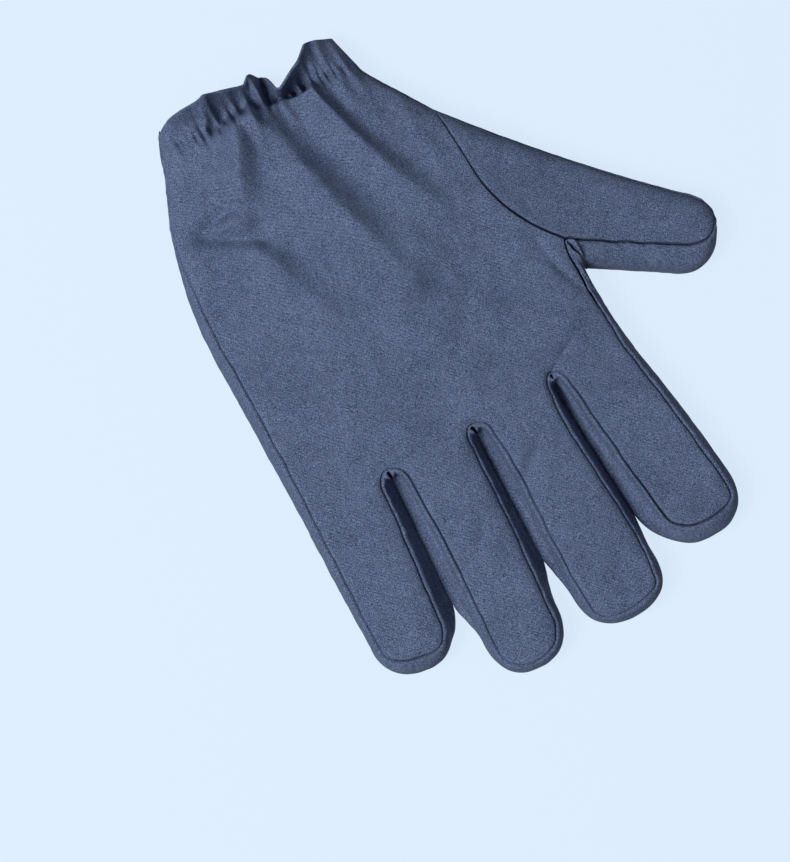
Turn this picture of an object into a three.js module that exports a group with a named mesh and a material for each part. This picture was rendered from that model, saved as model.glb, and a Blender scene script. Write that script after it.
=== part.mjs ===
// A right-hand work glove sewn from thin shielding cloth, lying on its palm with the back of the hand up.
// Millimetres, +Z up, +Y towards the fingertips, -X towards the thumb.
// The hand is one hollow pillow of cloth, open at the wrist. Its outer surface is worked out in plan from its outer
// edge, the seam of its back panel and the seam of its palm panel, and is cut into sewn pieces along them.
import * as THREE from "three";

// Cloth and seams
const CLOTH = 1.2;
const SEAM_GAP = 0.3;

// Heights of the pillow above the surface that it lies on
const EDGE_Z = 6.0;
const FINGER_TOP_Z = 13.6;
const PALM_RISE = 3.2;
const CROWN_RISE = 1.8;
const CROWN_REACH = 20;
const WRIST_DROP = 3.4;
const TOP_ROLL = 9.0;
const PALM_ROLL = 5.0;
const PALM_SEAM_INSET = 2.8;

// Gathered wrist line
const CUFF_Y = -110;
const CUFF_END_Y = -125;
const GATHER_DEPTH = 0.8;
const GATHER_PITCH = 9.0;
const GATHER_REACH = 24;

// Steps of the meshes. The middle half of a digit's cap closes its grid, so a cap takes twice the steps across.
const ACROSS = 6;
const CAP_STEPS = 2 * ACROSS;
const SIDE_STEPS = 6;
const CROTCH_STEPS = 4;
const WRIST_STEPS = 3;
const THUMB_SEAM_STEPS = ACROSS - CROTCH_STEPS / 2;
const INDEX_FLANK_STEPS = 3;
const STRIP_TOP_STEPS = 3;
const STRIP_PALM_STEPS = 2;
const FRILL_ROWS = 4;
const SIDE_CURVE_STEPS = 8;
const FOLD_STEPS = 12;
const NEAR_FADE = 6;
const FAR_FADE = 3;
const HAND_ROWS = WRIST_STEPS + ACROSS + INDEX_FLANK_STEPS;

// The lines of the hand in plan. A digit stands upright in a frame turned by so many degrees. left and right are
// its two sides at three stations along it, and start is where they leave the hand. The cap is half a superellipse
// of the length and power given, which ends at the tip.
const LINES = {
  edge: {
    thumb: {
      turn: 55, stations: [-28, 22, 68], left: [-76.4, -64.6, -57.0], right: [-19.6, -23.5, -27.1],
      start: [-28.5, 36], tip: 82.5, cap: 15, power: 2.2, skew: 0,
    },
    index: {
      turn: 0, stations: [35, 65, 90], left: [-45.3, -50.9, -54.4], right: [-13.3, -16.0, -18.6],
      start: [35, 39], tip: 110.5, cap: 20, power: 2.3, skew: 0,
    },
    middle: {
      turn: 0, stations: [35, 65, 100], left: [-11.3, -12.7, -14.9], right: [19.6, 18.9, 18.4],
      start: [39, 41], tip: 123.5, cap: 17, power: 2.4, skew: 0,
    },
    ring: {
      turn: 0, stations: [35, 65, 100], left: [24.0, 24.4, 25.6], right: [55.3, 56.1, 56.0],
      start: [41, 42], tip: 123.6, cap: 18, power: 2.4, skew: 0,
    },
    little: {
      turn: 0, stations: [40, 65, 88], left: [60.0, 60.9, 63.4], right: [94.2, 94.3, 94.0],
      start: [42, 40], tip: 104.5, cap: 17, power: 2.3, skew: -0.12,
    },
    thumbCrotch: [-42.3, -0.8],
    indexCrotch: [-12.4, 31.2],
    middleCrotch: [21.9, 34.4],
    ringCrotch: [57.6, 35.2],
    wristSide: [[-2.7, -110], [-4.4, -103.6], [-11.8, -92.2], [-20.9, -78.6]],
    indexSide: [[-42.5, 5.0], [-43.4, 20.0], [-45.3, 35.0]],
    littleSide: [[94.2, 40.0], [94.6, -5.0], [94.6, -48.0], [88.6, -80.0], [79.6, -103.5], [77.6, -110]],
  },
  backSeam: {
    thumb: {
      turn: 55, stations: [-28, 22, 68], left: [-75.6, -63.8, -56.0], right: [-34.5, -33.9, -37.2],
      start: [-28.5, 29], tip: 80.6, cap: 13.8, power: 2.2, skew: 0,
    },
    index: {
      turn: 0, stations: [35, 65, 90], left: [-41.9, -46.9, -50.4], right: [-17.3, -21.0, -24.4],
      start: [35, 36], tip: 103.3, cap: 9, power: 2.8, skew: -0.04,
    },
    middle: {
      turn: 0, stations: [35, 65, 100], left: [-9.4, -10.2, -12.7], right: [16.8, 15.1, 15.7],
      start: [36, 38], tip: 119.6, cap: 7.5, power: 2.8, skew: 0.02,
    },
    ring: {
      turn: 0, stations: [35, 65, 100], left: [25.6, 26.4, 28.4], right: [52.0, 50.5, 53.0],
      start: [38, 38], tip: 120.2, cap: 8.5, power: 2.6, skew: -0.05,
    },
    little: {
      turn: 0, stations: [40, 65, 88], left: [62.6, 64.3, 66.4], right: [90.5, 91.2, 91.4],
      start: [38, 40], tip: 98.5, cap: 8.5, power: 2.6, skew: -0.2,
    },
    thumbCrotch: [-40.6, -12.9],
    indexCrotch: [-12.7, 28.3],
    middleCrotch: [22.3, 31.3],
    ringCrotch: [57.4, 31.8],
    wristSide: [[-2.0, -110], [-3.7, -103.2], [-11.2, -91.8], [-20.3, -78.2]],
    indexSide: [[-39.2, -7.0], [-39.8, 12.0], [-41.9, 35.0]],
    littleSide: [[90.5, 40.0], [90.0, -5.0], [90.6, -48.0], [87.8, -79.0], [79.2, -103.3], [77.2, -110]],
  },
};
const FINGERS = ["index", "middle", "ring", "little"];
const DIGITS = ["thumb", ...FINGERS];
const CROTCHES = ["thumbCrotch", "indexCrotch", "middleCrotch", "ringCrotch"];

// The seam that sets the thumb into the hand, from the wrist side to the crotch
const THUMB_SEAM = [[-20.6, -78.4], [-22.0, -58.0], [-24.0, -41.0], [-30.5, -26.0], [-40.6, -12.9]];

// The outer edge below the wrist line, on the thumb side and on the little-finger side
const FRILL_SIDES = [
  [[-2.7, -110], [-2.9, -113], [-1.6, -118], [1.0, -125]],
  [[77.6, -110], [77.2, -112], [75.6, -117], [71.5, -125]],
];

// Soft folds of the back: valleys and ridges, each on a curve drawn by three points, with its width at both ends.
// They flatten by a share of their rise towards the far end.
const FOLD_FLATTENING = 0.75;
const FOLDS = [
  { from: [15.5, -107], by: [9, -84], to: [-3, -46], width: [3, 7], rise: -2.4 },
  { from: [22, -107], by: [17, -84], to: [11, -56], width: [3, 6], rise: 1.3 },
  { from: [34, -107], by: [27, -80], to: [12, -38], width: [4, 8], rise: -1.9 },
  { from: [40, -105], by: [38, -80], to: [33, -52], width: [4, 9], rise: 1.2 },
  { from: [43, -108], by: [50, -90], to: [57, -72], width: [3, 6], rise: -2.4 },
  { from: [62, -104], by: [64, -92], to: [66, -80], width: [5, 8], rise: 1.2 },
  { from: [54, -70], by: [68, -66], to: [86, -70], width: [4, 6], rise: -1.2 },
  { from: [-10, -24], by: [4, -10], to: [16, 2], width: [6, 7], rise: -0.8 },
];

// The frill from the thumb side (0) to the little-finger side (1): how far it reaches past the wrist line and how
// far it lifts, on the back and on the palm. It rises and then droops along a stretch of a sine of so many radians.
const FRILL_CURL = 1.9;
const FRILL_BACK_FROM_Z = 0.5;
const FRILL = [
  { across: 0.0, backReach: 8.0, backLift: 0.0, palmReach: 8.0, palmLift: 0.0 },
  { across: 0.07, backReach: 10.2, backLift: 3.0, palmReach: 8.6, palmLift: 0.6 },
  { across: 0.15, backReach: 12.6, backLift: 4.5, palmReach: 8.0, palmLift: 0.8 },
  { across: 0.24, backReach: 7.0, backLift: 0.5, palmReach: 6.5, palmLift: 0.2 },
  { across: 0.34, backReach: 3.6, backLift: -3.0, palmReach: 4.5, palmLift: 0.0 },
  { across: 0.4, backReach: 9.0, backLift: 2.5, palmReach: 6.5, palmLift: 0.3 },
  { across: 0.455, backReach: 12.6, backLift: 4.0, palmReach: 8.4, palmLift: 0.8 },
  { across: 0.5, backReach: 10.2, backLift: 1.5, palmReach: 8.8, palmLift: 0.4 },
  { across: 0.68, backReach: 13.0, backLift: 3.5, palmReach: 9.4, palmLift: 0.9 },
  { across: 0.86, backReach: 12.0, backLift: 2.0, palmReach: 9.0, palmLift: 0.3 },
  { across: 1.0, backReach: 7.0, backLift: 0.0, palmReach: 7.0, palmLift: 0.0 },
];

// Colour of the cloth
const NAVY_HEATHER = { color: 0x46547a, roughness: 0.9, metalness: 0.0 };

const { smoothstep, clamp, degToRad } = THREE.MathUtils;
const mix = (a, b, t) => a.map((value, axis) => value + (b[axis] - value) * t);
const steps = (count, make) => Array.from({ length: count + 1 }, (_, i) => make(i / count, i));
const joinLines = (...lines) => lines.flatMap((line, i) => (i ? line.slice(1) : line));

// The value at a place on the parabola through three stations
function throughThree(stations, values, at) {
  const share = (here, other) => (at - other) / (here - other);
  const weight = (i) => stations.reduce((w, other, j) => (i === j ? w : w * share(stations[i], other)), 1);
  return values.reduce((sum, value, i) => sum + value * weight(i), 0);
}

// Evenly spaced points of a smooth curve through a few plan points
function smoothLine(points, count) {
  const curve = new THREE.SplineCurve(points.map(([x, y]) => new THREE.Vector2(x, y)));
  return curve.getSpacedPoints(count).map(({ x, y }) => [x, y]);
}

// A digit's line in plan, up its left side, over its tip and down its right side. Stretches share their end points.
function digitLine({ turn, stations, left, right, start, tip, cap, power, skew }) {
  const [cos, sin] = [Math.cos(degToRad(turn)), Math.sin(degToRad(turn))];
  const place = (x, y) => [x * cos - y * sin, x * sin + y * cos];
  const sideAt = (side, y) => throughThree(stations, side, y);
  const capStart = tip - cap;
  const sideLine = (side, from) =>
    steps(SIDE_STEPS, (t) => {
      const y = from + (capStart - from) * t;
      return place(sideAt(side, y), y);
    });
  const halfWidth = (sideAt(right, capStart) - sideAt(left, capStart)) / 2;
  const round = (value) => Math.sign(value) * Math.abs(value) ** (2 / power);
  const leftLine = sideLine(left, start[0]);
  const rightLine = sideLine(right, start[1]).reverse();
  const capLine = steps(CAP_STEPS, (t) => {
    const angle = Math.PI * (1 - t);
    const y = capStart + cap * round(Math.sin(angle));
    const offset = halfWidth * round(Math.cos(angle));
    const middle = (sideAt(left, y) + sideAt(right, y)) / 2;
    return place(middle + offset, y + skew * offset * Math.sin(angle));
  });
  const cappedLine = [leftLine.at(-1), ...capLine.slice(1, -1), rightLine[0]];
  return { left: leftLine, cap: cappedLine, right: rightLine };
}

// The U-shaped turn between two digits, down to its lowest point and up again
function crotchLine(from, bottom, to) {
  const turn = steps(CROTCH_STEPS, (t) => {
    const side = t <= 0.5 ? from : to;
    return [
      bottom[0] + (side[0] - bottom[0]) * Math.abs(Math.cos(Math.PI * t)),
      bottom[1] + (side[1] - bottom[1]) * (1 - Math.sin(Math.PI * t)),
    ];
  });
  return [from, ...turn.slice(1, -1), to];
}

// All stretches of one line round the hand, in order from the thumb side of the wrist to its little-finger side
function handLine(table) {
  const digit = Object.fromEntries(DIGITS.map((name) => [name, digitLine(table[name])]));
  const wristSide = smoothLine(table.wristSide, WRIST_STEPS);
  const indexSide = smoothLine(table.indexSide, INDEX_FLANK_STEPS);
  const littleSide = smoothLine(table.littleSide, HAND_ROWS);
  wristSide[WRIST_STEPS] = digit.thumb.left[0];
  indexSide[INDEX_FLANK_STEPS] = digit.index.left[0];
  littleSide[0] = digit.little.right[SIDE_STEPS];
  const crotch = (name, from, to) => crotchLine(from.right[SIDE_STEPS], table[name], to);
  return {
    wristSide,
    ...digit,
    thumbCrotch: crotch("thumbCrotch", digit.thumb, indexSide[0]),
    indexSide,
    indexCrotch: crotch("indexCrotch", digit.index, digit.middle.left[0]),
    middleCrotch: crotch("middleCrotch", digit.middle, digit.ring.left[0]),
    ringCrotch: crotch("ringCrotch", digit.ring, digit.little.left[0]),
    littleSide,
  };
}

const roundDigit = ({ left, cap, right }) => joinLines(left, cap, right);

// The same line as one list, and the places in it where the strips of two digits meet
function wholeLine(line) {
  const stretches = [
    line.wristSide, roundDigit(line.thumb), line.thumbCrotch, line.indexSide, roundDigit(line.index),
    line.indexCrotch, roundDigit(line.middle), line.middleCrotch, roundDigit(line.ring), line.ringCrotch,
    roundDigit(line.little), line.littleSide,
  ];
  const crotches = CROTCHES.map((name) => stretches.indexOf(line[name]));
  const pointsBefore = (count) => stretches.slice(0, count).reduce((sum, part) => sum + part.length - 1, 0);
  return {
    points: joinLines(...stretches),
    breaks: crotches.map((place) => pointsBefore(place) + CROTCH_STEPS / 2),
  };
}

const edge = handLine(LINES.edge);
const backSeam = handLine(LINES.backSeam);
const edgePoints = wholeLine(edge).points;
const frillSides = FRILL_SIDES.map((side) => smoothLine(side, SIDE_CURVE_STEPS));
const outline = joinLines([...frillSides[0]].reverse(), edgePoints, frillSides[1]);

// Distance in plan to the outer edge. The open wrist isn't an edge.
function edgeDistance(x, y) {
  let nearest = Infinity;
  for (let i = 1; i < outline.length; i++) {
    const [ax, ay] = outline[i - 1];
    const [dx, dy] = [outline[i][0] - ax, outline[i][1] - ay];
    const t = clamp(((x - ax) * dx + (y - ay) * dy) / (dx * dx + dy * dy), 0, 1);
    nearest = Math.min(nearest, Math.hypot(x - ax - t * dx, y - ay - t * dy));
  }
  return nearest;
}

// Rises from 0 at the edge to 1 as a quarter circle does
const roll = (distance, reach) => Math.sqrt(1 - (1 - Math.min(distance / reach, 1)) ** 2);
const fade = (value, none, full) => smoothstep((value - none) / (full - none), 0, 1);

function foldHeight(x, y) {
  return FOLDS.reduce((sum, { from, by, to, width, rise }) => {
    const places = steps(FOLD_STEPS, (t) => {
      const [px, py] = mix(mix(from, by, t), mix(by, to, t), t);
      return { t, away: Math.hypot(x - px, y - py) };
    });
    const { t, away } = places.reduce((best, place) => (place.away < best.away ? place : best));
    const here = width[0] + (width[1] - width[0]) * t;
    return sum + rise * (1 - FOLD_FLATTENING * t) * Math.exp(-((away / here) ** 2));
  }, 0);
}

function gatherHeight(x, y) {
  return GATHER_DEPTH * fade(y, CUFF_Y + GATHER_REACH, CUFF_Y) * Math.cos((2 * Math.PI * x) / GATHER_PITCH);
}

function backHeight([x, y]) {
  const distance = edgeDistance(x, y);
  const rounded = roll(distance, TOP_ROLL);
  const palm = PALM_RISE * fade(y, 55, 5) * fade(x, -60, -22) - WRIST_DROP * fade(y, -40, CUFF_Y);
  const crown = CROWN_RISE * roll(distance, CROWN_REACH);
  const relief = (foldHeight(x, y) + gatherHeight(x, y)) * roll(distance, 2 * TOP_ROLL);
  return EDGE_Z + (FINGER_TOP_Z - EDGE_Z + palm + crown) * rounded + relief;
}

const palmHeight = ([x, y]) => EDGE_Z * (1 - roll(edgeDistance(x, y), PALM_ROLL));

// The palm seam: the outer edge moved in by an even inset, square to the edge
function palmSeamLine() {
  const insetAt = (point) => {
    const i = edgePoints.indexOf(point);
    const before = edgePoints[Math.max(0, i - 1)];
    const after = edgePoints[Math.min(edgePoints.length - 1, i + 1)];
    const [dx, dy] = [after[0] - before[0], after[1] - before[1]];
    const length = Math.hypot(dx, dy);
    return [point[0] + (PALM_SEAM_INSET * dy) / length, point[1] - (PALM_SEAM_INSET * dx) / length];
  };
  const each = ([name, line]) => [name, Array.isArray(line) ? line.map(insetAt) : insetLines(line)];
  const insetLines = (lines) => Object.fromEntries(Object.entries(lines).map(each));
  return insetLines(edge);
}

// Rows of plan points inside four lines: near and far run left to right, left and right run from near to far. The
// bends of the near and far lines die away with the distance from them.
function fillPatch(near, far, left, right) {
  const [rows, columns] = [left.length - 1, near.length - 1];
  const bend = (line, u, j) => line[j].map((value, axis) => value - mix(line[0], line[columns], u)[axis]);
  return steps(rows, (v, i) =>
    steps(columns, (u, j) => {
      const [nearBend, farBend] = [bend(near, u, j), bend(far, u, j)];
      const [nearShare, farShare] = [(1 - v) ** NEAR_FADE, v ** FAR_FADE];
      const between = mix(left[i], right[i], u);
      return between.map((value, axis) => value + nearBend[axis] * nearShare + farBend[axis] * farShare);
    }),
  );
}

// The plan of a face of the glove, back or palm: the hand with its fingers, and the thumb
function facePatches(line) {
  const half = CROTCH_STEPS / 2;
  const straight = (a, b, count) => steps(count, (t) => mix(a, b, t));
  const digitPatch = (near, { left, cap, right }) => {
    const corner = CAP_STEPS / 4;
    const rightSide = [...cap.slice(-1 - corner, -1), ...right].reverse();
    return fillPatch(near, cap.slice(corner, -corner), [...left, ...cap.slice(1, corner + 1)], rightSide);
  };
  const bases = FINGERS.map((name) => straight(line[name].left[0], line[name].right[SIDE_STEPS], ACROSS));
  const fingers = FINGERS.map((name, i) => digitPatch(bases[i], line[name]));
  const knuckles = joinLines(
    bases[0], line.indexCrotch, bases[1], line.middleCrotch, bases[2], line.ringCrotch, bases[3],
  );
  const thumbSeam = smoothLine(THUMB_SEAM, THUMB_SEAM_STEPS);
  thumbSeam[0] = line.thumb.left[0];
  thumbSeam[THUMB_SEAM_STEPS] = line.thumbCrotch[half];
  const handLeft = joinLines(line.wristSide, thumbSeam, line.thumbCrotch.slice(half), line.indexSide);
  const handRight = [...line.littleSide].reverse();
  const wrist = straight(handLeft[0], handRight[0], knuckles.length - 1);
  return {
    hand: [fillPatch(wrist, knuckles, handLeft, handRight), ...fingers],
    thumb: [digitPatch(joinLines(thumbSeam, line.thumbCrotch.slice(0, half + 1).reverse()), line.thumb)],
  };
}

const raiseRow = (row, height) => row.map((point) => new THREE.Vector3(...point, height(point)));
const raise = (rows, height) => rows.map((row) => raiseRow(row, height));
const turnOver = (rows) => rows.map((row) => [...row].reverse());

// The whole side strip, one row for each place on the outer edge, from the palm seam round to the back seam
function sideStripRows(palmSeam) {
  const [seamAbove, seamBelow] = [wholeLine(backSeam).points, wholeLine(palmSeam).points];
  return edgePoints.map((point, i) => {
    const below = steps(STRIP_PALM_STEPS, (t) => mix(point, seamBelow[i], t * t)).reverse();
    const above = steps(STRIP_TOP_STEPS, (t) => mix(point, seamAbove[i], t * t)).slice(1);
    return [...raiseRow(below, palmHeight), ...raiseRow(above, backHeight)];
  });
}

// The value of a frill column at a place across the wrist, on smooth steps between its rows
function frillValue(column, across) {
  const next = clamp(FRILL.findIndex((row) => row.across >= across), 1, FRILL.length - 1);
  const [before, after] = [FRILL[next - 1], FRILL[next]];
  return before[column] + (after[column] - before[column]) * fade(across, before.across, after.across);
}

// Rows of the frill from its free edge up to the wrist line, which is a ring of surface points
function frillRows(wristRing) {
  const sideAt = (side, y) => {
    const next = clamp(side.findIndex((point) => point[1] <= y), 1, side.length - 1);
    const [before, after] = [side[next - 1], side[next]];
    return mix(before, after, (y - before[1]) / (after[1] - before[1]))[0];
  };
  const ringAt = (point, t) => {
    const [left, right] = frillSides.map((side) => sideAt(side, CUFF_Y));
    const across = clamp((point.x - left) / (right - left), 0, 1);
    const back = fade(point.z, FRILL_BACK_FROM_Z, FINGER_TOP_Z);
    const between = (name) => {
      const [onPalm, onBack] = [frillValue(`palm${name}`, across), frillValue(`back${name}`, across)];
      return onPalm + (onBack - onPalm) * back;
    };
    const y = CUFF_Y - between("Reach") * t;
    const shift = mix([sideAt(frillSides[0], y) - left], [sideAt(frillSides[1], y) - right], across)[0];
    const z = Math.max(0, point.z + between("Lift") * Math.sin(FRILL_CURL * t));
    return new THREE.Vector3(point.x + shift, y, z);
  };
  return steps(FRILL_ROWS, (t) => wristRing.map((point) => (t ? ringAt(point, t) : point))).reverse();
}

// The outer surface of every piece, as grids of points whose faces point outwards
function surfacePieces() {
  const palmSeam = palmSeamLine();
  const back = facePatches(backSeam);
  const palm = facePatches(palmSeam);
  const upper = (patches) => patches.map((rows) => raise(rows, backHeight));
  const lower = (patches) => patches.map((rows) => turnOver(raise(rows, palmHeight)));
  const strip = sideStripRows(palmSeam);
  const cuts = [0, ...wholeLine(edge).breaks, strip.length - 1];
  const strips = DIGITS.map((name, i) => [`${name}_strip`, [strip.slice(cuts[i], cuts[i + 1] + 1)]]);
  const pieces = {
    back_panel: upper(back.hand),
    palm_panel: lower(palm.hand),
    thumb_back: upper(back.thumb),
    thumb_palm: lower(palm.thumb),
    ...Object.fromEntries(strips),
  };
  const [backWrist, palmWrist] = [pieces.back_panel[0][0], pieces.palm_panel[0][0]];
  const wristRing = joinLines(strip[0], backWrist, [...strip.at(-1)].reverse(), palmWrist, strip[0].slice(0, 1));
  pieces.cuff_frill = [frillRows(wristRing)];
  return pieces;
}

// The grids of a piece as a list of triangles, each an array of three points
function gridTriangles(grids) {
  return grids.flatMap((rows) =>
    rows.slice(1).flatMap((row, i) =>
      row.slice(1).flatMap((point, j) => {
        const [a, b, d] = [rows[i][j], rows[i][j + 1], row[j]];
        return [[a, b, point], [a, point, d]];
      }),
    ),
  );
}

const nameOf = (point) => point.toArray().map((value) => (Math.round(value * 1000) + 0).toFixed()).join();

// The outward direction at every point of the glove, shared by the pieces that meet there
function outwardDirections(pieces) {
  const outward = new Map();
  for (const triangle of Object.values(pieces).flatMap(gridTriangles)) {
    const [a, b, c] = triangle;
    const facing = b.clone().sub(a).cross(c.clone().sub(a));
    for (const point of triangle) {
      const name = nameOf(point);
      if (!outward.has(name)) outward.set(name, new THREE.Vector3());
      outward.get(name).add(facing);
    }
  }
  for (const direction of outward.values()) direction.normalize();
  return outward;
}

// A closed wall of cloth inside a piece's surface. Its rims stand back from the seams by half a gap.
function clothWall(grids, outward) {
  const points = [];
  const places = new Map();
  const placeOf = (at) => {
    const name = nameOf(at);
    if (!places.has(name)) {
      places.set(name, points.length);
      points.push({ at, out: outward.get(name), inward: new THREE.Vector3() });
    }
    return places.get(name);
  };
  const faces = gridTriangles(grids)
    .map((triangle) => triangle.map(placeOf))
    .filter(([a, b, c]) => a !== b && b !== c && c !== a);
  const rims = new Map();
  for (const [a, b, c] of faces) {
    for (const [p, q] of [[a, b], [b, c], [c, a]]) {
      if (!rims.delete(`${q},${p}`)) rims.set(`${p},${q}`, [p, q]);
    }
  }
  for (const [p, q] of rims.values()) {
    const along = points[q].at.clone().sub(points[p].at);
    for (const end of [p, q]) points[end].inward.add(points[end].out.clone().cross(along).normalize());
  }
  const shift = ({ inward }) => (inward.lengthSq() ? inward.clone().setLength(SEAM_GAP / 2) : inward);
  const outer = points.map((point) => point.at.clone().add(shift(point)));
  const inner = points.map((point, i) => outer[i].clone().addScaledVector(point.out, -CLOTH));
  const count = points.length;
  const index = [
    ...faces.flat(),
    ...faces.flatMap(([a, b, c]) => [count + a, count + c, count + b]),
    ...[...rims.values()].flatMap(([p, q]) => [q, p, count + p, q, count + p, count + q]),
  ];
  const position = [...outer, ...inner].flatMap((point) => point.toArray());
  return new THREE.BufferGeometry()
    .setAttribute("position", new THREE.Float32BufferAttribute(position, 3))
    .setIndex(index);
}

function gloveMeshes() {
  const pieces = surfacePieces();
  const outward = outwardDirections(pieces);
  return Object.entries(pieces).map(([name, grids]) => {
    const mesh = new THREE.Mesh(clothWall(grids, outward), new THREE.MeshStandardMaterial(NAVY_HEATHER));
    mesh.name = name;
    return mesh;
  });
}

const glove = new THREE.Group();
glove.add(...gloveMeshes());

// The origin is below the middle of the glove, on the surface that it lies on.
const middle = new THREE.Box3().setFromObject(glove).getCenter(new THREE.Vector3());
glove.position.set(-middle.x, -middle.y, 0);

export default glove;
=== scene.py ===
import math

import bpy
import numpy as np
from mathutils import Matrix, Vector
from mathutils.geometry import delaunay_2d_cdt


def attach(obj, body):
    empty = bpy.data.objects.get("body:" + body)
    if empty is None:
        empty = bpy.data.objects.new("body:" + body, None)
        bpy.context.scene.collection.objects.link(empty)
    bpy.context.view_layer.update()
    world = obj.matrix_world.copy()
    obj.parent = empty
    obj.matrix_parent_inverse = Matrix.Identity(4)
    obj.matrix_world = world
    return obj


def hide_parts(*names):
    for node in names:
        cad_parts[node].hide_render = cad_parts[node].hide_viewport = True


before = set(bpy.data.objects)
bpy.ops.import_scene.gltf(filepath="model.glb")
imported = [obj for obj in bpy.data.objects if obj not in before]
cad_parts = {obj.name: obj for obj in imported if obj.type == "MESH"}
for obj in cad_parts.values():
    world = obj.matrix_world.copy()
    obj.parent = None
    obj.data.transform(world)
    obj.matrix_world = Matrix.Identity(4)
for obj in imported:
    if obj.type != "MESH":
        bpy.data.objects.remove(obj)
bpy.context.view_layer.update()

MM = 0.001
PLAN_TO_FRAME = np.array([-0.22, -0.37, 0.0])

# Heights of the pillow of cloth above the table, as in the frame. Here and below, a pair of places says where
# a change starts and where it is full.
EDGE_Z = 6.0
FINGER_TOP_Z = 13.6
PALM_RISE = 3.2
PALM_RISES_Y = (55, 5)
PALM_RISES_X = (-60, -22)
CROWN_RISE = 1.0
CROWN_REACH = 20.0
WRIST_DROP = 3.4
WRIST_DROPS_BELOW = -40
TOP_ROLL = 8.0
TOP_ROLL_POWER = 2.7
RELIEF_ROLL = 12.0
PALM_ROLL = 5.0
PALM_SEAM_INSET = 2.8

# Cloth
WALL = 0.6
HEM_WALL = 0.9

# Seams: each piece of cloth rolls down into the seam, and stands a little proud beside it
SEAM_DEPTH = 3.5
SEAM_GAP = 0.26
SEAM_ROLL = 0.42
SEAM_POWER = 2.3
FLAT_SEAM = 0.3
FLAT_SEAM_REACH = (1.5, 4.0)
SEAM_WOBBLE = 0.14
WOBBLE_GROWS_OVER = 12
THUMB_SEAM_OPENS = (-60.0, -20.0)
PANEL_RIDGE = dict(rise=0.12, at=1.7, width=1.0)
STRIP_RIDGE = dict(rise=0.35, at=1.5, width=0.9)
RIDGE_RIPPLE = 0.25

# The low waves of a side strip, where they start below its seam and how far above its lower rim they fade
STRIP_WAVES = dict(rise=0.07, scale=0.5)
STRIP_CRINKLES = dict(rise=0.012, scale=1.3)
STRIP_WAVES_START = (1.8, 4.0)
STRIP_WAVES_END = 8

# The pinch where the strips of two digits meet: a cut between two small ridges, from its top to its lower end
PINCH_CUT = dict(depth=3.4, at=0.4, width=0.6)
PINCH_RIDGES = dict(rise=1.7, at=1.9, width=0.8)
PINCH_TOP = (0.5, 1.9)
PINCH_END = (12, 6)

# How far along the strip the thumb's crotch is kept off the table
THUMB_LIFT_REACH = 16

# Mesh sizes. A rim row keeps its points that lie at least RIM_KEPT of its offset from the rim, and the
# lattice keeps LATTICE_CLEAR of a wrist spacing from the last of these rows.
RIM_ROWS = (0.26, 0.31, 0.42, 0.55, 0.72, 1.0, 1.4, 1.9)
RIM_KEPT = 0.97
LATTICE_CLEAR = 0.6
BACK_SPACING = 0.9
WRIST_SPACING = 0.5
WRIST_BELOW = -97.0
PALM_SPACING = 1.5
CURVE_STEPS = 40
GATHER_STEPS = 220
THUMB_SEAM_STEPS = 110
PALM_WRIST_STEPS = 80
STEPS = {
    "wristSide": 46, "indexSide": 50, "littleSide": 188, "thumb": 112, "finger": 74, "cap": 62, "crotch": 28,
}

# Heights are measured from an outline: every third point of the edge, and one step past the wrist at each end
OUTLINE_SKIP = 3
OUTLINE_PAST_WRIST = ((0.6, -16), (-4, -16))

# Distances are worked out for so many points at once, and TINY takes the place of a divisor of 0
CHUNK = 1500
TINY = 1e-12

# Section of a side strip. Its upper points crowd towards the edge, and STRIP_RIM_ROWS come on after RIM_ROWS.
UPPER_STEPS = 70
UPPER_CROWDING = 2.3
UNDER_STEPS = 30
STRIP_RIM_ROWS = (2.6, 3.4)
STRIP_ROWS = 20
STRIP_POWER = 2.0

# How the strips of two neighbours lean against each other in the gap between them
FREE_BULGE = 0.35
WIDEST_BULGE = 3.4
GAP_OVERLAP = 0.15
GAP_NEAR = (12, 9)
GAP_ENDS_Y = (100, 84)
GAP_DROP = 0.48
GAP_WALL = (1.3, 2.9)
LEAN_ENDS_Y = (106, 86)
LEAN_SHIFT = 0.6
LEAN_SHARPNESS = 1.6
LEAN_PULL = (0.39, 1.23)
LEAN_Z = 4.2
LEAN_TUCK = 0.8

# Folds: their section is a bell curve with a sharper crest, worked out within FOLD_REACH widths of a fold
FOLD_STEPS = 20
FOLD_POWER = 1.6
FOLD_REACH = 2.5
FLANK_BLEND = 0.7

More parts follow.
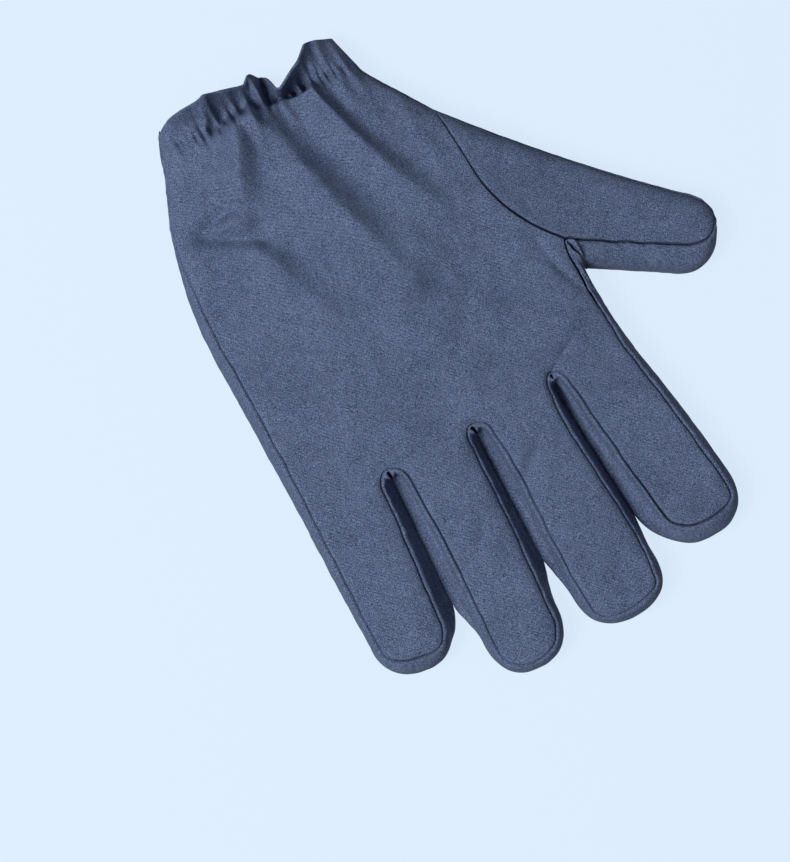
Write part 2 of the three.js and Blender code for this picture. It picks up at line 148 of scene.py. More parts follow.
# Lines of the hand in plan. A digit stands upright in a frame turned by so many degrees. left and right are
# its two sides at a few stations along it, and start is where they leave the hand. The cap is half a
# superellipse of the length and power given, which ends at the tip and is skewed sideways.
FINGERS = ("index", "middle", "ring", "little")
DIGITS = ("thumb",) + FINGERS
CROTCHES = ("thumbCrotch", "indexCrotch", "middleCrotch", "ringCrotch")
EDGE = {
    "thumb": dict(
        turn=55, stations=(-28, 22, 68), left=(-76.4, -64.6, -57.0), right=(-20.6, -24.4, -27.5),
        start=(-28.5, 36), tip=82.5, cap=15, power=2.2, skew=0,
    ),
    "index": dict(
        turn=0, stations=(35, 65, 90), left=(-45.3, -50.9, -54.4), right=(-13.3, -16.0, -18.6),
        start=(35, 39), tip=110.5, cap=20, power=2.3, skew=0,
    ),
    "middle": dict(
        turn=0, stations=(35, 65, 100), left=(-11.3, -12.7, -14.9), right=(19.6, 18.9, 18.4),
        start=(39, 41), tip=123.5, cap=17, power=2.4, skew=0,
    ),
    "ring": dict(
        turn=0, stations=(35, 65, 100), left=(24.0, 24.4, 25.6), right=(55.3, 56.1, 56.0),
        start=(41, 42), tip=123.6, cap=18, power=2.4, skew=0,
    ),
    "little": dict(
        turn=0, stations=(40, 65, 88), left=(60.0, 60.9, 63.4), right=(94.2, 94.3, 94.0),
        start=(42, 40), tip=104.5, cap=17, power=2.3, skew=-0.12,
    ),
    "thumbCrotch": (-42.3, -0.8),
    "indexCrotch": (-12.4, 31.2),
    "middleCrotch": (21.9, 34.4),
    "ringCrotch": (57.6, 35.2),
    "wristSide": ((-3.2, -107.3), (-4.9, -102.6), (-11.8, -92.2), (-20.9, -78.6)),
    "indexSide": ((-42.5, 5.0), (-43.4, 20.0), (-45.3, 35.0)),
    "littleSide": ((94.2, 40.0), (94.6, -5.0), (94.6, -48.0), (88.6, -80.0), (79.6, -103.5), (77.4, -110.8)),
}
BACK_SEAM = {
    "thumb": dict(
        turn=55, stations=(-28, 22, 68), left=(-75.6, -63.8, -56.0), right=(-34.5, -33.9, -37.2),
        start=(-28.5, 29), tip=80.6, cap=13.8, power=2.2, skew=0,
    ),
    "index": dict(
        turn=0, stations=(35, 65, 90), left=(-41.9, -46.9, -50.4), right=(-17.3, -21.0, -24.4),
        start=(35, 36), tip=103.3, cap=9, power=2.8, skew=-0.04,
    ),
    "middle": dict(
        turn=0, stations=(35, 65, 95, 112), left=(-9.4, -10.2, -12.6, -11.6),
        right=(16.8, 15.1, 15.9, 14.9), start=(36, 38), tip=119.3, cap=7.5, power=2.6, skew=0.06,
    ),
    "ring": dict(
        turn=0, stations=(35, 65, 100), left=(25.6, 26.4, 28.4), right=(52.0, 51.3, 52.6),
        start=(38, 38), tip=120.2, cap=12, power=2.3, skew=-0.05,
    ),
    "little": dict(
        turn=0, stations=(40, 65, 88), left=(62.6, 64.3, 66.4), right=(90.5, 91.2, 91.4),
        start=(38, 40), tip=98.5, cap=8.5, power=2.6, skew=-0.2,
    ),
    "thumbCrotch": (-40.6, -12.9),
    "indexCrotch": (-12.7, 28.3),
    "middleCrotch": (22.3, 31.3),
    "ringCrotch": (57.4, 31.8),
    "wristSide": ((-2.4, -107.3), (-4.2, -102.2), (-11.2, -91.8), (-20.3, -78.2)),
    "indexSide": ((-39.2, -7.0), (-39.8, 12.0), (-41.9, 35.0)),
    "littleSide": ((90.5, 40.0), (90.0, -5.0), (90.6, -48.0), (87.8, -79.0), (79.2, -103.3), (77.0, -110.8)),
}
THUMB_SEAM = ((-20.6, -78.4), (-22.0, -58.0), (-24.0, -41.0), (-30.5, -26.0), (-40.6, -12.9))

# The stitched line of elastic across the back of the wrist, and how it draws the cloth in: least at its ends
GATHER_LINE = ((-2.4, -107.3), (8.0, -108.2), (20.0, -109.2), (34.0, -110.2), (58.0, -110.6), (77.0, -110.8))
GATHER_Y = -110.0
GATHER_DIP = 4.6
GATHER_DIP_WIDTH = 2.3
GATHER_DIP_ENDS = 0.16
GATHER_DIP_GROWS = (8, 15)
GATHER_DIP_FADES = (62, 54)
GATHER_UNEVEN = 0.35
GATHER_UNEVEN_SCALE = 0.8

# Waves that run from the elastic into the back: height, reach, and scale of the random field across and along
GATHER_WAVES = (
    dict(rise=0.45, reach=9, across=0.55, along=0.10),
    dict(rise=0.32, reach=3.0, across=1.0, along=0.12),
)

# Heights of the waves of washed cloth that lies loose
BROAD_RISE = 0.36
HAND_RISE = 0.10
SMALL_RISE = 0.020
CRINKLE_RISE = 0.006

# Folds of the back, each on a curve through three points. left and right are the widths of its two flanks at
# its start and end, and rise is its height at the three points. A flank is steep where it is narrow, and a
# valley has a rise below 0.
FOLD_COLUMNS = ("start", "by", "end", "left", "right", "rise")
FOLDS = [dict(zip(FOLD_COLUMNS, row)) for row in (
    ((16.5, -108), (9.0, -79), (-5, -46), (1.5, 6.5), (5.0, 9.0), (6.4, 6.6, 2.8)),
    ((37, -102), (29, -67), (17, -28), (6.4, 8.5), (12, 16), (5.4, 9.4, 4.6)),
    ((13, -49), (7, -37), (1, -22), (5.0, 5.5), (5.0, 6.0), (0.5, 2.3, 0.4)),
    ((46.5, -108), (51.5, -96), (57.5, -82), (6.0, 7.0), (5.0, 9.0), (7.0, 11, 7.0)),
    ((57, -78), (67, -80), (77, -77.5), (2.6, 2.6), (3.0, 3.0), (-1.6, -3.8, -2.4)),
    ((81, -77), (68.5, -71), (58, -64), (3.0, 3.6), (3.0, 3.6), (-1.0, -5.0, -3.4)),
    ((60, -73), (68, -75.5), (79, -75), (2.6, 2.6), (2.6, 2.6), (0.6, 1.2, 0.4)),
    ((63, -71), (58.5, -55), (50.5, -34), (4.6, 6.5), (10, 9.0), (3.6, 5.0, 2.4)),
    ((6, -106), (2, -90), (-7, -68), (4.0, 7.0), (3.0, 5.0), (1.8, 2.0, 0.5)),
    ((-12, -92), (-11, -72), (-15, -46), (5.5, 6.0), (5.0, 6.0), (1.0, 2.4, 0.6)),
    ((21.5, -105), (18.5, -90), (14, -70), (2.6, 3.4), (2.5, 4.0), (2.0, 2.0, 0.4)),
    ((42, -108), (39, -102), (34, -93), (6.0, 4.5), (3.0, 3.5), (4.2, 3.0, 0.5)),
    ((40, -108), (40.5, -100), (42, -90), (1.4, 2.2), (1.6, 2.6), (1.6, 1.1, 0.2)),
    ((50, -109), (51.5, -104), (54, -97), (1.2, 1.6), (1.2, 1.8), (0.9, 0.6, 0.1)),
    ((54, -109), (56, -103), (60, -95), (1.3, 2.2), (1.4, 2.4), (0.8, 0.6, 0.1)),
    ((61, -109), (62, -101), (66, -89), (1.6, 3.5), (1.8, 4.0), (0.7, 0.7, 0.1)),
    ((2, -107), (-1, -101), (-6, -93), (1.3, 2.0), (1.4, 2.2), (0.9, 0.6, 0.1)),
    ((10.5, -108), (8, -101), (4, -92), (1.2, 1.8), (1.3, 2.0), (1.0, 0.6, 0.1)),
    ((29, -109), (28, -103), (25.5, -95), (1.3, 2.0), (1.4, 2.2), (1.2, 0.8, 0.1)),
    ((-14, -24), (3, -9), (18, 12), (4.0, 5.0), (4.0, 5.0), (-0.8, -1.4, -0.2)),
    ((67, -9), (80, -15), (91, -17), (2.2, 2.2), (2.2, 2.2), (-0.1, -0.9, -1.2)),
    ((-31, -18), (-33, -6), (-38, 6), (1.6, 1.4), (2.4, 2.0), (-0.6, -1.5, -1.6)),
    ((-12.7, 28.6), (-22, 23), (-35, 17), (1.1, 2.6), (1.1, 2.6), (-1.7, -1.3, -0.2)),
    ((61, 31), (76, 33), (90, 33), (1.6, 1.6), (1.6, 1.6), (-0.8, -0.4, -0.9)),
    ((26, 31), (38, 30), (52, 32), (1.6, 1.6), (1.6, 1.6), (-0.8, -0.4, -0.8)),
    ((-9, 31), (5, 32), (19, 31), (1.8, 1.6), (1.8, 1.6), (-0.7, -0.3, -0.8)),
    ((-43, 44), (-32, 42), (-20, 36), (2.4, 2.0), (2.4, 2.0), (-0.9, -0.8, -0.9)),
    ((34, 60), (39, 71), (50, 78), (2.6, 2.2), (2.6, 2.2), (-0.3, -1.0, -0.7)),
    ((0, 46), (7, 52), (14, 58), (2.4, 2.4), (2.4, 2.4), (-0.2, -0.9, -0.6)),
    ((-48, 84), (-43, 83), (-36, 86), (1.8, 2.6), (1.8, 2.6), (-0.6, -0.5, -0.1)),
    ((-91, -3), (-88, -6), (-84, -12), (1.2, 1.8), (1.2, 1.8), (-1.0, -0.7, -0.1)),
)]

# Deep hollows of the cloth: place, half sizes, depth and steepness of the walls. A mound has a depth below 0.
HOLLOWS = (
    dict(at=(20.5, -108.4), size=(5.2, 2.5), depth=8.0, power=3.0),
    dict(at=(29.5, -109.8), size=(4.8, 2.2), depth=4.6, power=2.0),
    dict(at=(63.0, -91.0), size=(7.0, 7.0), depth=-0.8, power=1.0),
)

# Puckers drawn in by the elastic: place along its line, offset from it towards the hand, half sizes and depth
PUCKERS = (
    dict(x=-1.0, off=0.6, wide=0.9, long=2.0, depth=2.0),
    dict(x=2.1, off=0.9, wide=0.8, long=2.0, depth=1.6),
    dict(x=5.6, off=0.6, wide=0.8, long=2.4, depth=1.9),
    dict(x=8.6, off=0.4, wide=0.7, long=2.2, depth=1.5),
    dict(x=11.0, off=1.6, wide=0.9, long=4.0, depth=2.0),
    dict(x=33.0, off=1.4, wide=0.7, long=3.4, depth=1.6),
    dict(x=37.4, off=1.8, wide=0.8, long=4.2, depth=2.4),
    dict(x=42.6, off=-0.4, wide=2.2, long=3.4, depth=3.2),
    dict(x=46.6, off=1.2, wide=0.8, long=3.4, depth=2.4),
    dict(x=50.0, off=0.4, wide=0.7, long=2.6, depth=2.0),
    dict(x=52.8, off=2.0, wide=0.9, long=2.8, depth=2.3),
    dict(x=56.4, off=0.6, wide=0.9, long=2.6, depth=1.5),
    dict(x=59.4, off=2.4, wide=0.7, long=3.6, depth=1.5),
    dict(x=62.4, off=0.4, wide=0.7, long=2.6, depth=1.4),
    dict(x=67.5, off=0.2, wide=0.6, long=1.6, depth=0.9),
    dict(x=72.0, off=0.0, wide=0.6, long=1.2, depth=0.7),
)


# Plan lines

def resample(points, count):
    """The same line with evenly spaced points."""
    lengths = np.r_[0, np.cumsum(np.linalg.norm(np.diff(points, axis=0), axis=1))]
    at = np.linspace(0, lengths[-1], count + 1)
    return np.stack([np.interp(at, lengths, column) for column in points.T], 1)


def smooth_line(points, count):
    """Evenly spaced points of a smooth curve through a few points."""
    points = np.array(points, float)
    padded = np.vstack([points[:1], points, points[-1:]])
    t = np.linspace(0, 1, CURVE_STEPS, endpoint=False)[:, None]
    spans = []
    for a, b, c, d in zip(padded, padded[1:], padded[2:], padded[3:]):
        leaving, arriving = (c - a) / 2, (d - b) / 2
        cubic = (2 * b - 2 * c + leaving + arriving) * t**3
        square = (3 * c - 3 * b - 2 * leaving - arriving) * t**2
        spans.append(cubic + square + leaving * t + b)
    return resample(np.vstack([*spans, points[-1:]]), count)


def straight(a, b, count):
    """Evenly spaced points from a to b."""
    t = np.linspace(0, 1, count + 1)[:, None]
    return np.array(a) * (1 - t) + np.array(b) * t


def join_lines(*lines):
    """One line from lines that each start where the last one ends."""
    return np.vstack([lines[0]] + [line[1:] for line in lines[1:]])


def side_steps(name):
    """The number of steps up one side of a digit."""
    return STEPS["thumb" if name == "thumb" else "finger"]


def digit_line(row, steps):
    """A digit's line up its left side, over its tip and down its right side."""
    cos, sin = math.cos(math.radians(row["turn"])), math.sin(math.radians(row["turn"]))
    sides = [np.polyfit(row["stations"], row[side], len(row["stations"]) - 1) for side in ("left", "right")]
    cap_start = row["tip"] - row["cap"]

    def place(x, y):
        return np.stack([x * cos - y * sin, x * sin + y * cos], 1)

    def side_line(side, start):
        y = np.linspace(start, cap_start, steps + 1)
        return place(np.polyval(side, y), y)

    def rounded(value):
        return np.sign(value) * np.abs(value) ** (2 / row["power"])

    half_width = (np.polyval(sides[1], cap_start) - np.polyval(sides[0], cap_start)) / 2
    angle = np.pi * (1 - np.linspace(0, 1, STEPS["cap"] + 1))
    y = cap_start + row["cap"] * rounded(np.sin(angle))
    offset = half_width * rounded(np.cos(angle))
    middle = (np.polyval(sides[0], y) + np.polyval(sides[1], y)) / 2
    cap = place(middle + offset, y + row["skew"] * offset * np.sin(angle))
    left, right = side_line(sides[0], row["start"][0]), side_line(sides[1], row["start"][1])[::-1]
    cap[0], cap[-1] = left[-1], right[0]
    return {"left": left, "cap": cap, "right": right}


def crotch_line(start, bottom, end):
    """The U-shaped turn between two digits."""
    t = np.linspace(0, 1, STEPS["crotch"] + 1)[:, None]
    side = np.where(t <= 0.5, start, end)
    share = np.hstack([np.abs(np.cos(np.pi * t)), 1 - np.sin(np.pi * t)])
    return np.array(bottom) + (side - bottom) * share


def hand_line(table):
    """The named stretches of one line round the hand, from the thumb side of the wrist to its other side."""
    digit = {name: digit_line(table[name], side_steps(name)) for name in DIGITS}
    side = {name: smooth_line(table[name], STEPS[name]) for name in ("wristSide", "indexSide", "littleSide")}
    side["wristSide"][-1] = digit["thumb"]["left"][0]
    side["indexSide"][-1] = digit["index"]["left"][0]
    side["littleSide"][0] = digit["little"]["right"][-1]
    starts = [digit[name]["right"][-1] for name in DIGITS[:-1]]
    ends = [side["indexSide"][0]] + [digit[name]["left"][0] for name in FINGERS[1:]]
    crotch = {name: crotch_line(a, table[name], b) for name, a, b in zip(CROTCHES, starts, ends)}
    return {**side, **digit, **crotch}


def round_digit(stretch):
    """A digit's three stretches as one line."""
    return join_lines(stretch["left"], stretch["cap"], stretch["right"])


ORDER = (
    "wristSide", "thumb", "thumbCrotch", "indexSide", "index", "indexCrotch", "middle", "middleCrotch",
    "ring", "ringCrotch", "little", "littleSide",
)


def whole_line(line):
    """All stretches as one line, and the places in it where the strips of two digits meet."""
    parts = [round_digit(line[name]) if name in DIGITS else line[name] for name in ORDER]
    counts = np.cumsum([0] + [len(part) - 1 for part in parts])
    breaks = [counts[ORDER.index(name)] + STEPS["crotch"] // 2 for name in CROTCHES]
    return join_lines(*parts), breaks


def random_waves(seed, wavelength, spread=0.35, count=28):
    """A smooth random field of the plan, of mean 0 and deviation 1, with waves of about one length."""
    rng = np.random.default_rng(seed)
    angle = rng.uniform(0, 2 * np.pi, count)
    number = 2 * np.pi / (wavelength * np.exp(rng.normal(0, spread, count)))
    phase = rng.uniform(0, 2 * np.pi, count)

    def field(x, y):
        total = np.zeros(np.broadcast(x, y).shape)
        for a, k, p in zip(angle, number, phase):
            total += np.cos(k * (x * math.cos(a) + y * math.sin(a)) + p)
        return total * math.sqrt(2 / count)

    return field


wobble_x = random_waves(seed=31, wavelength=15, spread=0.4)
wobble_y = random_waves(seed=32, wavelength=15, spread=0.4)


def wobbling(part):
    """The same line as a hand would sew it."""
    if isinstance(part, dict):
        return {name: wobbling(stretch) for name, stretch in part.items()}
    x, y = part.T
    loose = np.clip((y - GATHER_LINE[-1][1]) / WOBBLE_GROWS_OVER, 0, 1)[:, None]
    return part + SEAM_WOBBLE * loose * np.stack([wobble_x(x, y), wobble_y(x, y)], 1)


edge_parts = hand_line(EDGE)
seam_parts = wobbling(hand_line(BACK_SEAM))
edge_line, strip_breaks = whole_line(edge_parts)
seam_line, _ = whole_line(seam_parts)
gather_line = smooth_line(GATHER_LINE, GATHER_STEPS)


def line_normals(line):
    """Unit directions to the right of a line, which is inside the hand for a line round it."""
    along = np.gradient(line, axis=0)
    along /= np.linalg.norm(along, axis=1)[:, None]
    return np.stack([along[:, 1], -along[:, 0]], 1)


edge_inward = line_normals(edge_line)
palm_line = edge_line + PALM_SEAM_INSET * edge_inward
outline = np.vstack([
    edge_line[:1] + [OUTLINE_PAST_WRIST[0]],
    edge_line[::OUTLINE_SKIP],
    edge_line[-1:],
    edge_line[-1:] + [OUTLINE_PAST_WRIST[1]],
])


def distance_to(points, line):
    """Plan distance of every point to a line."""
    a, along = line[:-1], np.diff(line, axis=0)
    squared = np.maximum((along**2).sum(1), TINY)
    found = []
    for start in range(0, len(points), CHUNK):
        offset = points[start:start + CHUNK, None, :] - a
        t = np.clip((offset * along).sum(2) / squared, 0, 1)
        found.append(np.sqrt(((offset - t[..., None] * along) ** 2).sum(2).min(1)))
    return np.concatenate(found)


def inside(points, ring):
    """True for each point inside a closed ring."""
    x0, y0 = ring.T
    x1, y1 = np.roll(ring, -1, axis=0).T
    rise = np.where(y1 == y0, TINY, y1 - y0)
    found = []
    for start in range(0, len(points), CHUNK):
        x, y = points[start:start + CHUNK, :1], points[start:start + CHUNK, 1:]
        crosses = ((y0 > y) != (y1 > y)) & (x < x0 + (y - y0) * (x1 - x0) / rise)
        found.append(crosses.sum(1) % 2 == 1)
    return np.concatenate(found)


# Heights

def roll(distance, reach, power=2.0):
    """Rises from 0 at the edge to 1 as a quarter of a superellipse does."""
    return (1 - (1 - np.clip(distance / reach, 0, 1)) ** power) ** (1 / power)


def fade(value, none, full):
    """Goes smoothly from 0 where the value is none to 1 where it is full."""
    t = np.clip((value - none) / (full - none), 0, 1)
    return t * t * (3 - 2 * t)


def bump(distance, width):
    """A bell curve of height 1."""
    return np.exp(-((distance / width) ** 2))


broad_waves = random_waves(seed=11, wavelength=30)
hand_waves = random_waves(seed=12, wavelength=12)
small_waves = random_waves(seed=13, wavelength=5.5)
crinkles = random_waves(seed=14, wavelength=2.6)
pucker_waves = random_waves(seed=17, wavelength=3.4, spread=0.25)
seam_waves = random_waves(seed=19, wavelength=4.2, spread=0.3)
strip_waves = random_waves(seed=20, wavelength=5.0)


def fold_height(points, folds):
    """The height of all folds together at plan points."""
    total = np.zeros(len(points))
    t = np.linspace(0, 1, FOLD_STEPS + 1)[:, None]
    for row in folds:
        start, by, end = (np.array(row[key], float) for key in ("start", "by", "end"))
        line = start * (1 - t) + end * t + (4 * by - 2 * start - 2 * end) * t * (1 - t)
        reach = FOLD_REACH * max(row["left"] + row["right"])
        near = np.flatnonzero(((points > line.min(0) - reach) & (points < line.max(0) + reach)).all(1))
        if not len(near):
            continue
        a, along = line[:-1], np.diff(line, axis=0)
        offset = points[near, None, :] - a
        share = np.clip((offset * along).sum(2) / (along**2).sum(1), 0, 1)
        away = np.linalg.norm(offset - share[..., None] * along, axis=2)
        nearest = away.argmin(1)
        every = np.arange(len(near))
        place = (nearest + share[every, nearest]) / len(along)
        here, beside, distance = along[nearest], offset[every, nearest], away[every, nearest]
        turn = (here[:, 0] * beside[:, 1] - here[:, 1] * beside[:, 0]) / np.linalg.norm(here, axis=1)
        leftness = fade(turn / distance.clip(1e-6), -FLANK_BLEND, FLANK_BLEND)
        left, right = (row[key][0] + (row[key][1] - row[key][0]) * place for key in ("left", "right"))
        width = right + (left - right) * leftness
        rise = np.interp(place, (0, 0.5, 1), row["rise"])
        total[near] += rise * np.exp(-((distance / width) ** FOLD_POWER))
    return total


def gather_dip(x):
    """How deep the elastic draws the cloth in, most in the middle of the wrist."""
    uneven = 1 + GATHER_UNEVEN * pucker_waves(GATHER_UNEVEN_SCALE * x, 0 * x)
    more = (1 - GATHER_DIP_ENDS) * fade(x, *GATHER_DIP_GROWS) * fade(x, *GATHER_DIP_FADES)
    return GATHER_DIP * (GATHER_DIP_ENDS + more) * uneven


def gather_height(points):
    """Puckers that run from the elastic into the back of the hand."""
    x, y = points.T
    offset = y - np.interp(x, *gather_line.T)
    away = np.abs(offset)
    far, near = (
        row["rise"] * np.exp(-away / row["reach"]) * pucker_waves(x * row["across"], y * row["along"])
        for row in GATHER_WAVES
    )
    total = far + (near - gather_dip(x) * bump(away, GATHER_DIP_WIDTH))
    for row in PUCKERS:
        total -= row["depth"] * bump(x - row["x"], row["wide"]) * bump(offset - row["off"], row["long"])
    for row in HOLLOWS:
        from_middle = (points - row["at"]) / row["size"]
        total -= row["depth"] * np.exp(-((from_middle**2).sum(1) ** row["power"]))
    return total


def cloth_waves(points):
    """Soft unevenness of washed cloth that lies loose."""
    x, y = points.T
    large = BROAD_RISE * broad_waves(x, y) + HAND_RISE * hand_waves(x, y)
    return large + SMALL_RISE * small_waves(x, y) + CRINKLE_RISE * crinkles(x, y)


def back_body(points, distance):
    """The pillow of cloth without its folds."""
    x, y = points.T
    rise = PALM_RISE * fade(y, *PALM_RISES_Y) * fade(x, *PALM_RISES_X)
    drop = WRIST_DROP * fade(y, WRIST_DROPS_BELOW, GATHER_Y)
    crown = CROWN_RISE * roll(distance, CROWN_REACH)
    top = FINGER_TOP_Z - EDGE_Z + (rise - drop) + crown
    return EDGE_Z + top * roll(distance, TOP_ROLL, TOP_ROLL_POWER)


def back_height(points):
    """Height of the back's cloth with its folds, puckers and waves, which fade out towards the edge."""
    distance = distance_to(points, outline)
    relief = fold_height(points, FOLDS) + gather_height(points) + cloth_waves(points)
    return back_body(points, distance) + relief * roll(distance, RELIEF_ROLL)


def palm_height(points):
    """Height of the palm's cloth, which lies flat on the table and curls up at the edge."""
    distance = distance_to(points, outline)
    return EDGE_Z * (1 - roll(distance, PALM_ROLL))


# Meshes

def link(obj):
    """Puts an object into the scene."""
    bpy.context.scene.collection.objects.link(obj)
    return obj


def cloth_piece(name, node, points, faces, wall=WALL):
    """Adds a closed wall of cloth inside a surface, which stands for a node of the frame."""
    mesh = bpy.data.meshes.new(name)
    mesh.from_pydata(((points + PLAN_TO_FRAME) * MM).tolist(), [], np.asarray(faces).tolist())
    mesh.polygons.foreach_set("use_smooth", [True] * len(mesh.polygons))
    mesh.materials.append(navy_cloth)
    obj = link(bpy.data.objects.new(name, mesh))
    solid = obj.modifiers.new("wall", "SOLIDIFY")
    solid.thickness = wall * MM
    solid.offset = -1
    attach(obj, "root")
    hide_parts(node)


def grid_faces(rows, columns):
    """Four-sided faces of a grid of points, row after row."""
    first = (np.arange(rows - 1)[:, None] * columns + np.arange(columns - 1)).reshape(-1, 1)
    return first + np.array([0, 1, columns + 1, columns])


def grid_normals(grid):
    """Unit normals of a grid, which point to the left of its rows seen along its columns."""
    normal = np.cross(np.gradient(grid, axis=1), np.gradient(grid, axis=0))
    return normal / np.maximum(np.linalg.norm(normal, axis=2, keepdims=True), 1e-9)


def lattice_points(low, high, spacing):
    """Points of a lattice of equal triangles between two corners."""
    x, y = np.meshgrid(
        np.arange(low[0], high[0], spacing), np.arange(low[1], high[1], spacing * math.sqrt(0.75)),
    )
    x[1::2] += spacing / 2
    return np.stack([x.ravel(), y.ravel()], 1)


def flat_piece(ring, spacing):
    """Points and triangles of a flat piece: its rim, rows along it, and a lattice, finer at the wrist."""
    normals = line_normals(np.vstack([ring[-1:], ring, ring[:1]]))[1:-1]
    closed = np.vstack([ring, ring[:1]])
    layers = [ring]
    for row in RIM_ROWS:
        offset = ring + row * normals
        layers.append(offset[(distance_to(offset, closed) > RIM_KEPT * row) & inside(offset, ring)])
    low, high = ring.min(0), ring.max(0)
    middle = max(low[1], WRIST_BELOW)
    lattice = np.vstack([
        lattice_points(low, (high[0], middle), WRIST_SPACING),
        lattice_points((low[0], middle), high, spacing),
    ])
    lattice = lattice[inside(lattice, ring)]
    lattice = lattice[distance_to(lattice, closed) > RIM_ROWS[-1] + LATTICE_CLEAR * WRIST_SPACING]
    points = np.vstack([*layers, lattice])
    made = delaunay_2d_cdt([Vector(p) for p in points], [], [list(range(len(ring)))], 1, 1e-6)
    return np.array([list(p) for p in made[0]]), np.array(made[2])


def seam_strength(points):
    """1 for an open seam, less where it lies flat: round the heel of the thumb and along its outer side."""
    flat_line = join_lines(seam_parts["wristSide"], seam_parts["thumb"]["left"])
    outer = FLAT_SEAM + (1 - FLAT_SEAM) * fade(distance_to(points, flat_line), *FLAT_SEAM_REACH)
    thumb_seam = smooth_line(THUMB_SEAM, THUMB_SEAM_STEPS)
    beside = fade(distance_to(points, thumb_seam), *FLAT_SEAM_REACH[::-1])
    thumb = FLAT_SEAM + (1 - FLAT_SEAM) * fade(points[:, 1], *THUMB_SEAM_OPENS)
    return outer * (1 + beside * (thumb - 1))


def seam_dip(distance):
    """How far the cloth rolls down at a distance from its seam, as a negative height."""
    return -SEAM_DEPTH * (1 - roll(distance - SEAM_GAP, SEAM_ROLL, SEAM_POWER))


def panel(name, node, ring, seams, height, spacing, side):
    """Adds a flat-cut panel raised to a height, and rolled into the seams round it. side is 1 up, -1 down."""
    plan, faces = flat_piece(ring, spacing)
    away = distance_to(plan, seams)
    ripple = 1 + RIDGE_RIPPLE * seam_waves(*plan.T)
    dip = seam_dip(away) * (seam_strength(plan) if side > 0 else 1)
    ridge = PANEL_RIDGE["rise"] * bump(away - PANEL_RIDGE["at"], PANEL_RIDGE["width"]) * ripple
    z = height(plan) + side * (dip + ridge)
    if side < 0:
        z = np.maximum(z, 0)
        faces = faces[:, ::-1]
    cloth_piece(name, node, np.column_stack([plan, z]), faces)


def face_rings(line, wrist):
    """The clockwise rings of the hand panel and the thumb panel, each with the line of its seams."""
    half = STEPS["crotch"] // 2
    thumb_seam = smooth_line(THUMB_SEAM, THUMB_SEAM_STEPS)
    thumb_seam[0], thumb_seam[-1] = line["thumb"]["left"][0], line["thumbCrotch"][half]
    after_thumb = ORDER[ORDER.index("indexSide"):]
    fingers = [round_digit(line[name]) if name in DIGITS else line[name] for name in after_thumb]
    hand = join_lines(line["wristSide"], thumb_seam, line["thumbCrotch"][half:], *fingers)
    thumb = join_lines(round_digit(line["thumb"]), line["thumbCrotch"][:half + 1], thumb_seam[::-1])
    return np.vstack([hand, wrist[-2:0:-1]]), hand, thumb[:-1], thumb


def make_panels():
    """The panels of the back, then those of the palm, whose seam lies a little inside the edge."""
    back_ring, back_seams, thumb_ring, thumb_seams = face_rings(seam_parts, gather_line)
    panel("back_panel_cloth", "back_panel", back_ring, back_seams, back_height, BACK_SPACING, 1)
    panel("thumb_back_cloth", "thumb_back", thumb_ring, thumb_seams, back_height, BACK_SPACING, 1)
    inset = {}
    for name, places in stretch_spans().items():
        stretch = palm_line[places]
        if name in DIGITS:
            cap_start = side_steps(name)
            cap_end = cap_start + STEPS["cap"]
            stretch = {
                "left": stretch[:cap_start + 1],
                "cap": stretch[cap_start:cap_end + 1],
                "right": stretch[cap_end:],
            }
        inset[name] = stretch
    wrist = straight(inset["wristSide"][0], inset["littleSide"][-1], PALM_WRIST_STEPS)
    palm_ring, palm_seams, thumb_ring, thumb_seams = face_rings(inset, wrist)
    panel("palm_panel_cloth", "palm_panel", palm_ring, palm_seams, palm_height, PALM_SPACING, -1)
    panel("thumb_palm_cloth", "thumb_palm", thumb_ring, thumb_seams, palm_height, PALM_SPACING, -1)


# Side strips

def stretch_spans():
    """The places of each stretch in the whole line."""
    parts = [round_digit(edge_parts[name]) if name in DIGITS else edge_parts[name] for name in ORDER]
    starts = np.cumsum([0] + [len(part) - 1 for part in parts])
    return {name: slice(start, end + 1) for name, start, end in zip(ORDER, starts, starts[1:])}


def gap_bulge():
    """How far each place of the edge leans out low down, and how much it lies in a gap between fingers."""
    bulge = np.full(len(edge_line), FREE_BULGE)
    in_gap = np.zeros(len(edge_line))
    spans = stretch_spans()
    for i, name in enumerate(FINGERS):
        here = edge_line[spans[name]]
        others = [edge_line[spans[other]] for other in FINGERS[max(i - 1, 0):i] + FINGERS[i + 1:i + 2]]
        gap = np.min([distance_to(here, other) for other in others], axis=0)
        share = fade(here[:, 1], *LEAN_ENDS_Y) * fade(gap, *GAP_NEAR)
        lean = np.clip(gap / 2 + GAP_OVERLAP, 0, WIDEST_BULGE)
        bulge[spans[name]] += share * (lean - FREE_BULGE)
        in_gap[spans[name]] = fade(here[:, 1], *GAP_ENDS_Y) * fade(gap, *GAP_NEAR)
    for name in CROTCHES[1:]:
        ends = edge_line[spans[name]][[0, -1]]
        bulge[spans[name]] = np.linalg.norm(ends[1] - ends[0]) / 2 + GAP_OVERLAP
        in_gap[spans[name]] = 1
    return bulge, in_gap


def lean_shift():
    """Which of two neighbours leans out above the other: 1 on the right of a finger, -1 on its left."""
    shift = np.zeros(len(edge_line))
    spans = stretch_spans()
    for name in FINGERS:
        x = edge_line[spans[name], 0]
        middle = (x.min() + x.max()) / 2
        shift[spans[name]] = np.clip((x - middle) / (x.max() - middle) * LEAN_SHARPNESS, -1, 1)
    for name in CROTCHES[1:]:
        ends = shift[spans[name]][[0, -1]]
        shift[spans[name]] = np.linspace(*ends, spans[name].stop - spans[name].start)
    return LEAN_SHIFT * shift


